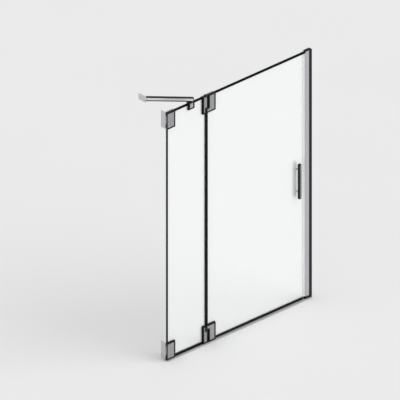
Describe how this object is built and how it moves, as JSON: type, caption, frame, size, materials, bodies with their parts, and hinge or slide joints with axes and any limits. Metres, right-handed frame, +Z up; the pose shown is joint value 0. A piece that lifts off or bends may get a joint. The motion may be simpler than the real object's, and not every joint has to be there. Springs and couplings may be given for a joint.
{
  "type": "hinged shower door",
  "caption": "Frameless glass shower door for a niche: a narrow fixed panel with wall brackets and a brace bar carries a wide leaf that swings in and out on glass-to-glass hinges.",
  "frame": {"origin": "on the floor, midway between the two walls, in the middle plane of the closed glass", "axes": "+X across the niche from the hinge side to the closing side, +Y into the shower, +Z up"},
  "size_m": [1.4, 0.324, 2.045],
  "materials": {
    "clear_glass": "polished clear safety glass",
    "satin_metal": "satin grey",
    "pale_metal": "satin, pale",
    "dark_aluminium": "dark anodised",
    "grey_aluminium": "satin anodised",
    "handle_metal": "satin dark grey",
    "steel_fasteners": "plain stainless",
    "black_rubber": "matt black",
    "gasket_rubber": "matt black",
    "clear_plastic": "clear, slightly cloudy",
    "grey_plastic": "pale grey",
    "bearing_plastic": "natural white",
    "dark_plastic": "black",
    "magnet": "bonded magnet strip, white coated"
  },
  "bodies": {
    "fixed_side": {"bracket_gaskets": "gasket_rubber", "bracket_screws": "steel_fasteners", "bracket_spacers": "bearing_plastic", "closing_profile": "pale_metal", "closing_profile_screws": "steel_fasteners", "fixed_bottom_seal": "black_rubber", "fixed_glass": "clear_glass", "fixed_wall_seal": "black_rubber", "hinge_fixed_gaskets": "gasket_rubber", "hinge_fixed_screws": "steel_fasteners", "hinge_fixed_spacers": "bearing_plastic", "hinge_pin_plugs": "dark_plastic", "hinge_pin_screws": "steel_fasteners", "hinge_thrust_washers": "bearing_plastic", "lower_bracket_angle": "satin_metal", "lower_bracket_front_plate": "satin_metal", "lower_hinge_fixed_body": "satin_metal", "lower_hinge_fixed_rear_plate": "satin_metal", "lower_hinge_pin": "steel_fasteners", "stabiliser_bar": "pale_metal", "stabiliser_bar_screw": "steel_fasteners", "stabiliser_clamp": "satin_metal", "stabiliser_clamp_screws": "steel_fasteners", "stabiliser_end_block": "pale_metal", "stabiliser_pad": "gasket_rubber", "stabiliser_socket_screw": "steel_fasteners", "stabiliser_wall_socket": "satin_metal", "threshold_strip": "grey_aluminium", "upper_bracket_angle": "satin_metal", "upper_bracket_front_plate": "satin_metal", "upper_hinge_fixed_body": "satin_metal", "upper_hinge_fixed_rear_plate": "satin_metal", "upper_hinge_pin": "steel_fasteners", "wall_channel": "dark_aluminium", "wall_magnet_holder": "grey_plastic", "wall_magnet_strip": "magnet", "wall_profile_cap": "dark_plastic"},
    "door_leaf": {"door_bottom_seal": "black_rubber", "door_closing_seal": "clear_plastic", "door_glass": "clear_glass", "door_hinge_seal": "black_rubber", "door_magnet_strip": "magnet", "handle_inner_bar": "handle_metal", "handle_inner_posts": "handle_metal", "handle_inner_screws": "steel_fasteners", "handle_outer_bar": "handle_metal", "handle_outer_posts": "handle_metal", "handle_studs": "steel_fasteners", "handle_washers": "clear_plastic", "hinge_door_gaskets": "gasket_rubber", "hinge_door_screws": "steel_fasteners", "hinge_door_spacers": "bearing_plastic", "lower_hinge_bush": "bearing_plastic", "lower_hinge_door_body": "satin_metal", "lower_hinge_door_rear_plate": "satin_metal", "upper_hinge_bush": "bearing_plastic", "upper_hinge_door_body": "satin_metal", "upper_hinge_door_rear_plate": "satin_metal"}
  },
  "joints": [
    {"name": "door_swing", "type": "hinge", "parent": "fixed_side", "child": "door_leaf", "pos_m": [-0.315, 0, 1], "axis": [0, 0, 1], "range_deg": [-90, 90]}
  ]
}
